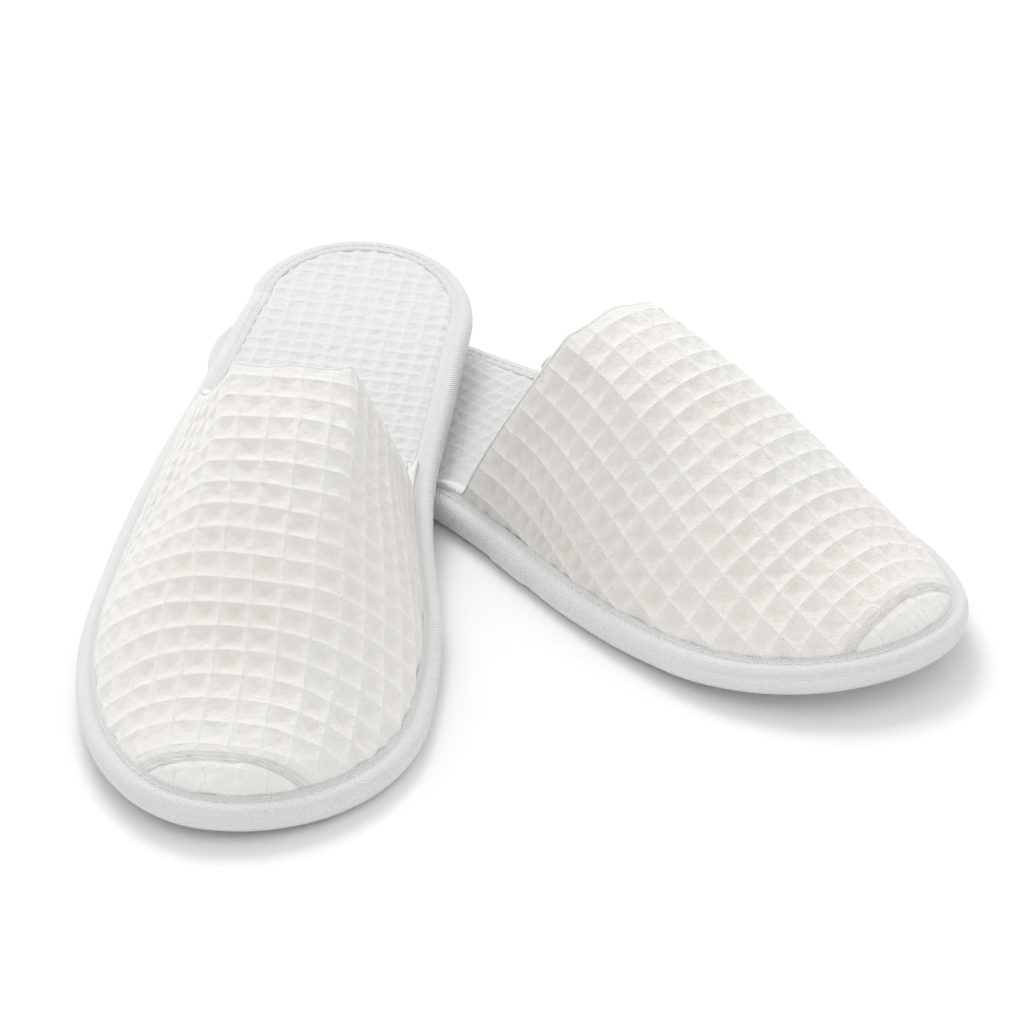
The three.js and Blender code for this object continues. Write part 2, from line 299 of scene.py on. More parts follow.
stud_pitch = 7.0
stud_row = stud_pitch * 0.866
sole_rubber, rubber_shader = new_material("foamed_rubber", 0.62)
rubber_place = node(sole_rubber, "ShaderNodeTexCoord").outputs["Object"]
rubber_pores = node(sole_rubber, "ShaderNodeTexVoronoi", {"Scale": 1800.0}, {"Vector": rubber_place})
rubber_grain = node(sole_rubber, "ShaderNodeTexNoise", {"Scale": 420.0, "Detail": 6.0},
                    {"Vector": rubber_place})
rubber_scuffs = node(sole_rubber, "ShaderNodeTexNoise", {"Scale": 26.0, "Detail": 4.0},
                     {"Vector": rubber_place})
rubber_tint = tint(sole_rubber, (0.77, 0.755, 0.72), (0.84, 0.83, 0.80), rubber_scuffs.outputs["Fac"])
link(sole_rubber, rubber_tint, rubber_shader.inputs["Base Color"])
rubber_bump = bump(sole_rubber, 0.35, 0.0002, rubber_grain.outputs["Fac"])
rubber_bump = bump(sole_rubber, 0.25, 0.0001, rubber_pores.outputs["Distance"], rubber_bump)
link(sole_rubber, rubber_bump.outputs["Normal"], rubber_shader.inputs["Normal"])

for side in lie:
    mesh, flat, on_top = sole_slab(edge_inset, 110, 300)
    distance, _ = edge_distance(flat, sole_loop(edge_inset, 600))
    thin = np.clip((distance - (tape_below - edge_inset) + 0.4) / 1.2, 0, 1)
    row = np.floor(flat[:, 1] / stud_row)
    across = (flat[:, 0] / stud_pitch + 0.5 * (row % 2)) % 1 - 0.5
    along = flat[:, 1] / stud_row - row - 0.5
    stud = np.clip(1.6 - np.hypot(across * stud_pitch, along * stud_row) / 1.5, 0, 1)
    inside = np.clip((distance - 9) / 1.0, 0, 1)
    below = pinch_below * (1 - thin) + thin * 0.7 * (1 - stud * inside)
    z = np.where(on_top, rubber_top, below) + toe_spring(flat[:, 1])
    finish_piece("sole_rubber", side, mesh, np.column_stack([flat, z]), sole_rubber, "outsole")

# ---- Midsole foam ----
# A thin sheet of white polyurethane foam that cushions the foot, glued between the rubber and the cloth.
# It is cut to the outline with rounded edges, and only its rim could be seen with the tape off.
foam_bottom, foam_top = 5.1, 7.5
white_foam, foam_shader = new_material("white_foam", 0.9)
foam_place = node(white_foam, "ShaderNodeTexCoord").outputs["Object"]
foam_cells = node(white_foam, "ShaderNodeTexVoronoi", {"Scale": 1400.0}, {"Vector": foam_place})
foam_shade = node(white_foam, "ShaderNodeTexNoise", {"Scale": 60.0, "Detail": 4.0}, {"Vector": foam_place})
foam_tint = tint(white_foam, (0.86, 0.85, 0.81), (0.9, 0.895, 0.87), foam_shade.outputs["Fac"])
link(white_foam, foam_tint, foam_shader.inputs["Base Color"])
foam_bump = bump(white_foam, 0.7, 0.0003, foam_cells.outputs["Distance"])
link(white_foam, foam_bump.outputs["Normal"], foam_shader.inputs["Normal"])

for side in lie:
    mesh, flat, on_top = sole_slab(edge_inset, 40, 160)
    distance, _ = edge_distance(flat, sole_loop(edge_inset, 600))
    rounding = 0.8 * (1 - np.sqrt(1 - np.clip(1 - distance / 1.2, 0, 1) ** 2))
    z = np.where(on_top, foam_top - rounding, foam_bottom + rounding) + toe_spring(flat[:, 1])
    piece = finish_piece("midsole_foam_sheet", side, mesh, np.column_stack([flat, z]), white_foam,
                         "midsole_foam")

# ---- Insole cover ----
# Waffle cotton laid over the foam, woven finer and pressed flatter than on the upper.
# It is cut to the sole's outline, and its edge is caught under the binding tape.
cover_top = 9.2
cover_thickness = 1.3
cover_inset = 2.2
insole_cell = 5.4
insole_steps = 7
insole_depth = 0.6
insole_ridge = 0.12


def smooth_noise(x, y, size, seed):
    """A slow, repeatable unevenness between -1 and 1."""
    rng = np.random.default_rng(seed)
    total = np.zeros_like(x)
    for _ in range(6):
        angle, phase = rng.uniform(0, 2 * np.pi, 2)
        wave = 2 * np.pi / (size * rng.uniform(0.7, 1.6))
        total += np.sin((x * np.cos(angle) + y * np.sin(angle)) * wave + phase)
    return total / 6


def ease(value):
    value = np.clip(value, 0, 1)
    return value * value * (3 - 2 * value)


def waffle_relief(a, b, cell, depth, ridge, seed):
    """Height of a honeycomb weave: a hollow in each cell, with thin raised threads between them."""
    column, row = np.floor(a / cell), np.floor(b / cell)
    across = np.abs(2 * (a / cell - column) - 1)
    along = np.abs(2 * (b / cell - row) - 1)
    code = np.sin(column * 12.9898 + row * 78.233 + seed) * 43758.5453
    uneven = 0.8 + 0.4 * (code - np.floor(code))
    pyramid = 1 - np.maximum(across, along)
    round_bowl = (1 - across ** 2.2) * (1 - along ** 2.2)
    bowl = 0.6 * pyramid + 0.4 * round_bowl
    near_a = (1 - across) * cell / 2
    near_b = (1 - along) * cell / 2
    lengthwise = np.exp(-(near_a / 0.45) ** 2)
    crosswise = np.exp(-(near_b / 0.45) ** 2)
    height = depth * (0.4 - uneven * bowl) + ridge * (lengthwise + 0.85 * crosswise)
    # The second value is a painted shading level: low in the hollows for painted shade, high along the raised
    # threads for a painted highlight.
    return height, np.clip(1 - bowl, 0, 1) * 0.75 + 0.25 * np.maximum(lengthwise, 0.7 * crosswise)


def cloth_lattice(xs, ys, keep):
    """A grid of cloth over flat coordinates with the faces outside keep cut away."""
    bm = bmesh.new()
    bmesh.ops.create_grid(bm, x_segments=len(xs) - 1, y_segments=len(ys) - 1, size=1)
    for v in bm.verts:
        v.co.x = xs[round((v.co.x + 1) / 2 * (len(xs) - 1))]
        v.co.y = ys[round((v.co.y + 1) / 2 * (len(ys) - 1))]
    bm.faces.ensure_lookup_table()
    centres = np.array([f.calc_center_median()[:2] for f in bm.faces])
    inside = keep(centres)
    bmesh.ops.delete(bm, geom=[f for f, kept in zip(bm.faces, inside) if not kept], context="FACES")
    return bm


def edge_points(bm):
    bm.verts.index_update()
    return np.array([v.index for v in bm.verts if v.is_boundary])


def flat_points(bm):
    return np.array([v.co[:] for v in bm.verts])


def inside_loop(points, loop):
    """Which points lie inside a closed loop."""
    result = np.zeros(len(points), bool)
    ax, ay = loop.T
    bx, by = np.roll(loop, -1, axis=0).T
    for start in range(0, len(points), 8000):
        x, y = points[start:start + 8000, 0][:, None], points[start:start + 8000, 1][:, None]
        crosses = (ay > y) != (by > y)
        with np.errstate(divide="ignore", invalid="ignore"):
            at = ax + (y - ay) * (bx - ax) / (by - ay)
        result[start:start + 8000] = (crosses & (x < at)).sum(axis=1) % 2 == 1
    return result


def cotton(name, ridge_colour, hollow_shade_and_dirt_colour, thread_pitch, hair, cell=None, stand=0.0):
    """Soft cotton with a thread grain that follows the cloth, darker in its hollows: partly painted shade,
    partly dirt.

    A waffle cloth also has cell, the pitch of its raised threads, and stand, their height in metres.
    """
    material, shader = new_material(name, 0.88)
    shader.inputs["Sheen Weight"].default_value = hair
    shader.inputs["Sheen Roughness"].default_value = 0.5
    weave = node(material, "ShaderNodeUVMap", uv_map="weave").outputs["UV"]
    # The relief attribute is a painted shading level, 0 in a shaded hollow and 1 on a lit thread.
    height = node(material, "ShaderNodeAttribute", attribute_name="relief").outputs["Fac"]
    place = node(material, "ShaderNodeTexCoord").outputs["Object"]
    blotch = node(material, "ShaderNodeTexNoise", {"Scale": 35.0, "Detail": 5.0, "Roughness": 0.6},
                  {"Vector": place})
    fluff = node(material, "ShaderNodeTexNoise", {"Scale": 900.0, "Detail": 8.0, "Roughness": 0.7},
                 {"Vector": place})
    parts = node(material, "ShaderNodeSeparateXYZ", None, {"Vector": weave})
    waves = []
    for axis in ("X", "Y"):
        turns = node(material, "ShaderNodeMath", {1: 2 * math.pi / thread_pitch},
                     {0: parts.outputs[axis]}, operation="MULTIPLY")
        waves.append(node(material, "ShaderNodeMath", None, {0: turns.outputs[0]}, operation="SINE"))
    grain = node(material, "ShaderNodeMath", None, {0: waves[0].outputs[0], 1: waves[1].outputs[0]},
                 operation="MULTIPLY")
    lift = node(material, "ShaderNodeMath", {1: 0.35}, {0: blotch.outputs["Fac"]}, operation="MULTIPLY")
    shade = node(material, "ShaderNodeMath", None, {0: height, 1: lift.outputs[0]}, operation="ADD",
                 use_clamp=True)
    # Painted shade: the hollows take the darker hollow colour, which is partly painted shade and partly dirt.
    base = tint(material, hollow_shade_and_dirt_colour, ridge_colour, shade.outputs[0])
    specks = node(material, "ShaderNodeMapRange", {"To Min": 0.955, "To Max": 1.03},
                  {"Value": fluff.outputs["Fac"]})
    tinted = node(material, "ShaderNodeVectorMath", None,
                  {0: base, 1: specks.outputs["Result"]}, operation="MULTIPLY")
    link(material, tinted.outputs["Vector"], shader.inputs["Base Color"])
    cloth_bump = bump(material, 0.35, 0.00012, grain.outputs[0])
    if cell:
        raised, thread_width = [], 0.62
        for axis, share in (("X", 1.0), ("Y", 0.8)):
            away = node(material, "ShaderNodeMath", {1: cell / 2}, {0: parts.outputs[axis]},
                        operation="PINGPONG")
            raised.append(node(material, "ShaderNodeMapRange",
                               {"From Max": thread_width, "To Min": share, "To Max": 0.0},
                               {"Value": away.outputs[0]}, interpolation_type="SMOOTHERSTEP"))
        raised = node(material, "ShaderNodeMath", None,
                      {0: raised[0].outputs["Result"], 1: raised[1].outputs["Result"]}, operation="MAXIMUM")
        # Warm patches kept to the hollows: partly dirt, partly painted shade.
        warm = node(material, "ShaderNodeTexNoise", {"Scale": 16.0, "Detail": 3.0}, {"Vector": place})
        warm_level = node(material, "ShaderNodeMapRange", {"From Min": 0.5, "From Max": 0.75, "To Max": 0.6},
                          {"Value": warm.outputs["Fac"]})
        sunk = node(material, "ShaderNodeMath", {0: 1.0}, {1: shade.outputs[0]}, operation="SUBTRACT")
        hollow_stain_and_shade = node(material, "ShaderNodeMath", None, {0: warm_level.outputs["Result"], 1: sunk.outputs[0]},
                     operation="MULTIPLY")
        warmed = node(material, "ShaderNodeMix", {"B": (0.80, 0.70, 0.60, 1)},
                      {"Factor": hollow_stain_and_shade.outputs[0], "A": tinted.outputs["Vector"]}, data_type="RGBA")
        # Painted highlight: the raised threads are mixed towards a colour a little lighter than the ridge
        # colour.
        painted_highlight = node(material, "ShaderNodeMath", {1: 0.6}, {0: raised.outputs[0]}, operation="MULTIPLY")
        threads = node(material, "ShaderNodeMix", {"B": (*(min(1.0, 1.07 * c) for c in ridge_colour), 1)},
                       {"Factor": painted_highlight.outputs[0], "A": warmed.outputs["Result"]}, data_type="RGBA")
        link(material, threads.outputs["Result"], shader.inputs["Base Color"])
        cloth_bump = bump(material, 1.0, stand, raised.outputs[0], cloth_bump)
    crumple = node(material, "ShaderNodeTexNoise", {"Scale": 330.0, "Detail": 4.0, "Roughness": 0.55},
                   {"Vector": place})
    cloth_bump = bump(material, 0.9, 0.0011, crumple.outputs["Fac"], cloth_bump)
    cloth_bump = bump(material, 0.6, 0.0003, fluff.outputs["Fac"], cloth_bump)
    link(material, cloth_bump.outputs["Normal"], shader.inputs["Normal"])
    return material


def thicken(piece, thickness):
    """Gives a sheet its thickness, inwards from its outer face."""
    body = piece.modifiers.new("thickness", "SOLIDIFY")
    body.thickness = thickness / 1000
    body.offset = -1


# The relief attribute holds the painted shading level that the cotton material mixes its colours by.
def set_relief(mesh, values):
    layer = mesh.attributes.new("relief", "FLOAT", "POINT")
    layer.data.foreach_set("value", values.astype(np.float32))


insole_cotton = cotton("insole_cotton", (0.81, 0.81, 0.795), (0.77, 0.77, 0.755), 0.62, 0.1,
                       cell=insole_cell, stand=0.00004)
for number, side in enumerate(lie):
    step = insole_cell / insole_steps
    xs = np.arange(-84, 84) * step
    ys = (np.arange(-1, 379)) * step
    loop = sole_loop(cover_inset, 1400)
    bm = cloth_lattice(xs, ys, lambda c: inside_loop(c, loop))
    rim = edge_points(bm)
    flat = flat_points(bm)[:, :2]
    lattice = flat.copy()
    _, nearest = edge_distance(flat[rim], loop)
    flat[rim] = loop[nearest]
    for v, (x, y) in zip(bm.verts, flat):
        v.co = (x, y, 0)
    mesh = mesh_from(bm, "insole_cover")
    distance, _ = edge_distance(flat, sole_loop(0, 700))
    relief, painted_shading = waffle_relief(lattice[:, 0], lattice[:, 1], insole_cell, insole_depth, insole_ridge,
                                 3.1 + number)
    patchy = 0.75 + 0.35 * smooth_noise(flat[:, 0], flat[:, 1], 60, 11 + number)
    strength = ease((distance - 4.5) / 3.5) * patchy
    pressed = 0.6 * (1 - ease((distance - 4.0) / 5.0))
    worn = 0.25 * smooth_noise(flat[:, 0], flat[:, 1], 45, 21 + number)
    z = cover_top - pressed + relief * strength + worn * ease((distance - 6) / 12)
    wander = 0.35 * np.column_stack([smooth_noise(flat[:, 0], flat[:, 1], 38, 31 + number),
                                     smooth_noise(flat[:, 0], flat[:, 1], 38, 41 + number)])
    moved = flat + wander * ease((distance - 3) / 6)[:, None]
    points = np.column_stack([moved, z + toe_spring(moved[:, 1])])
    # Painted shade in the hollows, weaker where the weave is pressed flat near the edge.
    set_relief(mesh, 1 - (1 - painted_shading) * strength)
    piece = finish_piece("insole_waffle", side, mesh, points, insole_cotton, "insole_cover",
                         uv=lattice)
    thicken(piece, cover_thickness)

# ---- Upper: waffle cloth ----
# Honeycomb cotton over the forefoot, cut in one piece and caught under the tape along the sole.
# At the throat it is turned over the padding to the inside, with no stitching on show.
upper_base = 9.5
upper_inset = 5.6
instep_height = 65.8
instep_to_toe = 123.5
crown_marks = [(76.0, 190.0), (instep_height, instep_to_toe), (51.0, 85.0), (21.0, 38.0), (6.0, upper_inset)]
crease = {"left": 0.45, "right": 0.9}
instep_side = 0.17
instep_flat = 0.42
crease_from_toe, crease_length = 134.0, 85.0
toe_curl = 17.4
lean_ends, lean_fade = 24.0, 40.0
toe_calm, toe_calm_from, toe_calm_fade = 0.6, 26.0, 10.0
row_lean = 0.8
hem_wall = 1.2
arch_power, arch_root = 2.24, 0.83
toe_roundness = 11.0
throat = {1: (35.0, 42.0), -1: (35.2, 60.0)}
throat_power = 4.0
upper_cell = 8.4
upper_steps = 12
upper_depth = 1.2
row_closeness = 1.18
upper_ridge = 0.32
waffle_thickness = 0.9
hem_radius = 2.0


def crown_height():
    """Height of the ridge line above the footbed as (y, height) rows along a smooth spline."""
    marks = np.array([(height, sole_length - to_toe) for height, to_toe in crown_marks])
    rows = []
    for k in range(len(marks) - 1):
        a, b, c, d = (marks[min(max(k + j, 0), len(marks) - 1)] for j in (-1, 0, 1, 2))
        t = np.linspace(0, 1, 60)[:, None]
        u, v = (c - a) / 2, (d - b) / 2
        rows.append((2 * b - 2 * c + u + v) * t ** 3 + (-3 * b + 3 * c - 2 * u - v) * t ** 2 + u * t + b)
    rows = np.vstack(rows)
    return rows[:, 1], rows[:, 0]


crown_y, crown_z = crown_height()
seam_inner, seam_outer, _, seam_toe = half_widths(upper_inset)
toe_y = seam_toe - 0.3
section_s = np.sin(np.linspace(-1, 1, 361) * np.pi / 2)


def upper_height(s, y, crease):
    """Height of the upper's outer face at s, from -1 to 1 across the seam, in the slice at y."""
    near_throat = 1 - ease((y - sole_length + crease_from_toe) / crease_length)
    size = np.abs(s - instep_side * near_throat * (1 - s * s))
    arch = (1 - size ** arch_power) ** arch_root
    flat_top = np.clip((1 - size) / (1 - instep_flat), 0, 1) ** 0.92
    squared = crease * near_throat
    arch = arch * (1 - squared) + flat_top * squared
    fall = np.clip((toe_y - y) / toe_roundness, 0, 1)
    ridge = np.clip(np.interp(y, crown_y, crown_z) - hem_wall, 0, None) * np.sqrt(1 - (1 - fall) ** 2)
    return upper_base + toe_spring(y) + hem_wall + ridge * arch


class UpperSurface:
    """The upper's outer face laid out flat: a runs across from the crown, b from the throat to the toe."""

    def __init__(self, step, crease):
        self.step, self.crease = step, crease
        start = sole_length - crown_marks[0][1] + 1
        self.crown_y = np.concatenate([np.linspace(start, toe_y - toe_curl, 400),
                                       toe_y - toe_curl * (1 - np.linspace(0, 1, 160)[1:]) ** 2])
        self.crown_z = upper_height(0.0, self.crown_y, crease)
        self.crown_lean = row_lean * np.clip(-np.gradient(np.interp(self.crown_y, crown_y, crown_z),
                                                          self.crown_y), 0, 0.75)
        self.crown_lean *= ease((toe_y - lean_ends - self.crown_y) / lean_fade)
        run = np.concatenate([[0], np.cumsum(np.hypot(np.diff(self.crown_y), np.diff(self.crown_z)))])
        self.rows = np.arange(0, run[-1], step)
        self.row_y = np.interp(self.rows, run, self.crown_y)
        self.columns = np.arange(-150, 151) * step
        self.table = np.empty((len(self.columns), len(self.rows), 3))
        self.arcs = np.empty((len(self.rows), len(section_s)))
        self.edge = {side: np.empty(len(self.rows)) for side in (1, -1)}
        self.edge_y = {side: np.empty(len(self.rows)) for side in (1, -1)}
        for j, crown_at in enumerate(self.row_y):
            lean = np.interp(crown_at, self.crown_y, self.crown_lean)
            top = np.interp(crown_at, self.crown_y, self.crown_z)
            y = np.full(len(section_s), crown_at)
            for _ in range(8):
                level = upper_height(section_s, y, crease)
                y = np.clip(0.4 * y + 0.6 * (crown_at - lean * (top - level)), start, toe_y)
            x = (seam_inner(y) + seam_outer(y)) / 2 + section_s * (seam_inner(y) - seam_outer(y)) / 2
            points = np.column_stack([x, y, upper_height(section_s, y, crease)])
            ends = points[[0, -1]] * [1, 1, 0]
            ends[:, 2] = upper_base + toe_spring(y[[0, -1]]) - 0.5
            points = np.vstack([ends[:1], points, ends[1:]])
            arc = np.concatenate([[0], np.cumsum(np.linalg.norm(np.diff(points, axis=0), axis=1))])
            arc -= arc[len(arc) // 2]
            for k in range(3):
                self.table[:, j, k] = np.interp(self.columns, arc, points[:, k])
            self.arcs[j] = arc[1:-1]
            self.edge[1][j], self.edge[-1][j] = arc[-1], arc[0]
            self.edge_y[1][j], self.edge_y[-1][j] = y[-1], y[0]
        normal = np.cross(np.gradient(self.table, axis=0), np.gradient(self.table, axis=1))
        size = np.linalg.norm(normal, axis=2)
        flat = size < 1e-3 * step * step
        normal[flat] = 0
        size[flat] = 1
        self.normal = normal / size[..., None]
        self.seam = np.vstack([np.column_stack([self.edge[1], self.rows]),
                               np.column_stack([self.edge[-1], self.rows])[::-1]])
        self.seam_side = np.concatenate([np.ones(len(self.rows)), -np.ones(len(self.rows))])

    def read(self, table, flat):
        """Bilinear reading of a table at (a, b) points."""
        u = np.clip((flat[:, 0] - self.columns[0]) / self.step, 0, len(self.columns) - 1.001)
        v = np.clip(flat[:, 1] / self.step, 0, len(self.rows) - 1.001)
        i, j = u.astype(int), v.astype(int)
        fu, fv = (u - i)[:, None], (v - j)[:, None]
        return ((table[i, j] * (1 - fu) + table[i + 1, j] * fu) * (1 - fv)
                + (table[i, j + 1] * (1 - fu) + table[i + 1, j + 1] * fu) * fv)

    def flatten(self, x, y):
        """(a, b) of points on the surface given by x and y."""
        middle, half = (seam_inner(y) + seam_outer(y)) / 2, (seam_inner(y) - seam_outer(y)) / 2
        s = np.clip((x - middle) / half, -1, 1)
        height = upper_height(s, y, self.crease)
        crown_at = y.copy()
        for _ in range(40):
            lean = np.interp(crown_at, self.crown_y, self.crown_lean)
            top = np.interp(crown_at, self.crown_y, self.crown_z)
            crown_at = 0.5 * crown_at + 0.5 * (y + lean * (top - height))
        b = np.interp(crown_at, self.row_y, self.rows)
        row = np.clip(np.round(b / self.step).astype(int), 0, len(self.rows) - 1)
        a = np.array([np.interp(v, section_s, self.arcs[j]) for v, j in zip(s, row)])
        return np.column_stack([a, b])


upper_step = upper_cell / upper_steps
upper_surface = {side: UpperSurface(upper_step, crease[side]) for side in lie}


def throat_y(x):
    """Where the throat's edge crosses x, with the small step where its two turned ends meet."""
    reach = np.where(x > 0, throat[1][0], throat[-1][0])
    back = np.where(x > 0, throat[1][1], throat[-1][1])
    step = 1.3 * ease((x + 1.5) / 1.2) * (1 - ease((x - 4) / 16))
    return sole_length - instep_to_toe - back * np.abs(x / reach) ** throat_power - step


def even_out(rows):
    """Rolling average along the throat's edge."""
    padded = np.vstack([np.repeat(rows[:1], 30, axis=0), rows, np.repeat(rows[-1:], 30, axis=0)])
    kernel = np.ones(61) / 61
    return np.column_stack([np.convolve(padded[:, k], kernel, mode="valid") for k in range(rows.shape[1])])


def unit_rows(rows):
    return rows / np.maximum(np.linalg.norm(rows, axis=1), 1e-9)[:, None]


class Throat:
    """The throat's cut edge on one slipper: flat points, places, and directions out of and into the cloth."""

    def __init__(self, surface):
        x = np.concatenate([np.linspace(-36.3, -28, 90), np.linspace(-28, 28, 260)[1:-1],
                            np.linspace(28, 36.6, 90)])
        flat = surface.flatten(x, throat_y(x))
        run = np.concatenate([[0], np.cumsum(np.hypot(*np.diff(flat, axis=0).T))])
        even = np.linspace(0, run[-1], 2400)
        self.flat = even_out(np.column_stack([np.interp(even, run, flat[:, k]) for k in (0, 1)]))
        self.edge = surface.read(surface.table, self.flat)
        self.normal = unit_rows(even_out(unit_rows(surface.read(surface.normal, self.flat))))
        self.inward = unit_rows(np.cross(self.normal, even_out(np.gradient(self.edge, axis=0))))


throat_cut = {side: Throat(upper_surface[side]) for side in lie}


def swell(flat, number):
    """Slow waves in the soft upper, the same for all its layers."""
    return (0.8 * smooth_noise(flat[:, 0], flat[:, 1], 42, 81 + number)
            + 0.25 * smooth_noise(flat[:, 0], flat[:, 1], 16, 91 + number))


def cut_pattern(surface, cut, margin):
    """The flat outline of the upper, as a closed loop: the throat, then round the toe."""
    if margin:
        pushed = cut.edge + cut.inward * margin
        edge = surface.flatten(pushed[::12, 0], pushed[::12, 1])
    else:
        edge = cut.flat[::4].copy()
    start = np.interp(edge[0, 1], surface.rows, surface.edge[-1])
    end = np.interp(edge[-1, 1], surface.rows, surface.edge[1])
    edge[:, 0] = np.clip(edge[:, 0], np.interp(edge[:, 1], surface.rows, surface.edge[-1]),
                         np.interp(edge[:, 1], surface.rows, surface.edge[1]))
    edge[0, 0], edge[-1, 0] = start, end
    seam = surface.seam
    ahead_right = (surface.seam_side > 0) & (seam[:, 1] > edge[-1, 1])
    ahead_left = (surface.seam_side < 0) & (seam[:, 1] > edge[0, 1])
    return edge, np.vstack([edge, seam[ahead_right], seam[ahead_left]])


def upper_panel(surface, cut, margin, cell_step):
    """Cuts one cloth layer of the upper out of a lattice, and fits its rim to the cut."""
    edge, pattern = cut_pattern(surface, cut, margin)
    reach_a = int(np.abs(pattern[:, 0]).max() / cell_step) + 2
    reach_b = int(pattern[:, 1].max() / cell_step) + 2
    xs = np.arange(-reach_a, reach_a + 1) * cell_step
    ys = np.arange(0, reach_b + 1) * cell_step
    bm = cloth_lattice(xs, ys, lambda c: inside_loop(c, pattern))
    lattice = flat_points(bm)[:, :2]
    rim = edge_points(bm)
    run = np.concatenate([[0], np.cumsum(np.hypot(*np.diff(pattern, axis=0).T))])
    count = int(run[-1] / 0.1)
    spots = np.linspace(0, run[-1], count)
    fine = np.column_stack([np.interp(spots, run, pattern[:, k]) for k in (0, 1)])
    _, nearest = edge_distance(lattice[rim], fine)
    flat = lattice.copy()
    flat[rim] = fine[nearest]
    at_throat = np.zeros(len(lattice), bool)
    at_throat[rim] = spots[nearest] < run[len(edge) - 1] - 0.05
    at_seam = np.zeros(len(lattice), bool)
    at_seam[rim] = ~at_throat[rim]
    return bm, lattice, flat, at_throat, at_seam


def surface_points(surface, flat, at_seam, depth):
    """Places flat points on the upper, moved inwards by depth."""
    place = surface.read(surface.table, flat)
    normal = surface.read(surface.normal, flat)
    size = np.linalg.norm(normal, axis=1)
    normal /= np.maximum(size, 1e-9)[:, None]
    big_toe_side = flat[:, 0] > 0
    y = np.where(big_toe_side, np.interp(flat[:, 1], surface.rows, surface.edge_y[1]),
                 np.interp(flat[:, 1], surface.rows, surface.edge_y[-1]))
    reach = np.where(big_toe_side, np.interp(flat[:, 1], surface.rows, surface.edge[1]),
                     np.interp(flat[:, 1], surface.rows, -surface.edge[-1]))
    share = np.clip(flat[:, 0] / reach, -1, 1)
    middle, half = (seam_inner(y) + seam_outer(y)) / 2, (seam_inner(y) - seam_outer(y)) / 2
    weak = (size < 0.5) | at_seam
    ahead = np.clip((y - toe_y + 25) / 25, 0, 1)
    aside = np.sign(flat[:, 0]) * (1.001 - ahead) + share * ahead
    outward = unit_rows(np.column_stack([aside, ahead, 0 * y]))
    normal[weak] = outward[weak]
    place[at_seam] = np.column_stack([middle + half * share, y, upper_base + toe_spring(y) - 0.5])[at_seam]
    return place - normal * np.broadcast_to(depth, len(place))[:, None], normal


upper_cotton = cotton("upper_cotton", (0.925, 0.91, 0.88), (0.875, 0.85, 0.81), 0.70, 0.1, cell=upper_cell,
                      stand=0.00014)
for number, side in enumerate(lie):
    surface, cut = upper_surface[side], throat_cut[side]
    bm, lattice, flat, at_throat, at_seam = upper_panel(surface, cut, 0, upper_step)
    distance_throat, near_throat = edge_distance(flat, cut.flat[::4])
    distance_seam, _ = edge_distance(flat, surface.seam)
    weave = np.column_stack([lattice[:, 0], lattice[:, 1] * row_closeness + 2.1])
    relief, painted_shading = waffle_relief(weave[:, 0], weave[:, 1], upper_cell, upper_depth, upper_ridge,
                                 7.7 + number)
    strength = (0.3 + 0.7 * ease((distance_throat - 1) / 4)) * (0.6 + 0.4 * ease((distance_seam - 1) / 4))
    strength *= 0.95 + 0.15 * smooth_noise(lattice[:, 0], lattice[:, 1], 50, 51 + number)
    strength[at_throat | at_seam] = 0
    toe_share = ease((lattice[:, 1] - surface.rows[-1] + toe_calm_from) / toe_calm_fade)
    calm = ease(distance_throat / 9) * ease(distance_seam / 9)
    wander = np.column_stack([smooth_noise(lattice[:, 0], lattice[:, 1], 34, 61 + number),
                              smooth_noise(lattice[:, 0], lattice[:, 1], 34, 71 + number)])
    woven = flat + 0.7 * wander * calm[:, None]
    height = relief * strength * (1 - toe_calm * toe_share) + swell(lattice, number) * calm
    points, _ = surface_points(surface, woven, at_seam, -height)
    # Painted shade in the hollows, weaker where the relief is weaker.
    painted_shading = 1 - (1 - painted_shading) * strength
    source = bm.verts.layers.int.new("source")
    for v, k in zip(bm.verts, near_throat):
        v[source] = int(k) * 4
    for v, place in zip(bm.verts, points):
        v.co = place
    hem_edges = [e for e in bm.edges if e.is_boundary and all(at_throat[v.index] for v in e.verts)]
    for v, k in zip(bm.verts, near_throat):
        if at_throat[v.index]:
            v.co = cut.edge[int(k) * 4]
    # The turned hem is painted almost fully lit.
    hem_painted_shading = []
    turns = [(k * math.pi / 7, 0.0) for k in range(1, 8)] + [(math.pi, s) for s in (1.5, 3.0, 4.5, 6.0)]
    for angle, reach in turns:
        grown = bmesh.ops.extrude_edge_only(bm, edges=hem_edges)["geom"]
        hem_edges = [e for e in grown if isinstance(e, bmesh.types.BMEdge)]
        for v in (g for g in grown if isinstance(g, bmesh.types.BMVert)):
            k = v[source]
            tucked = 0.25 + 0.75 * float(ease(min(k, len(cut.edge) - k) / len(cut.edge) * 18))
            out = (-math.sin(angle) * hem_radius + reach) * tucked
            down = (1 - math.cos(angle)) * hem_radius * tucked
            v.co = cut.edge[k] + cut.inward[k] * out - cut.normal[k] * down
            hem_painted_shading.append(0.95)
    face_up(bm)
    mesh = mesh_from(bm, "upper_waffle")
    points = read_points(mesh)
    uv = np.vstack([weave, np.zeros((len(points) - len(lattice), 2))])
    spare = points[len(lattice):]
    uv[len(lattice):] = np.column_stack([spare[:, 0], spare[:, 1] + spare[:, 2]])
    set_relief(mesh, np.concatenate([painted_shading, hem_painted_shading]))
    piece = finish_piece("waffle_cloth", side, mesh, points, upper_cotton, "upper_waffle",
                         uv=uv)
    thicken(piece, waffle_thickness)

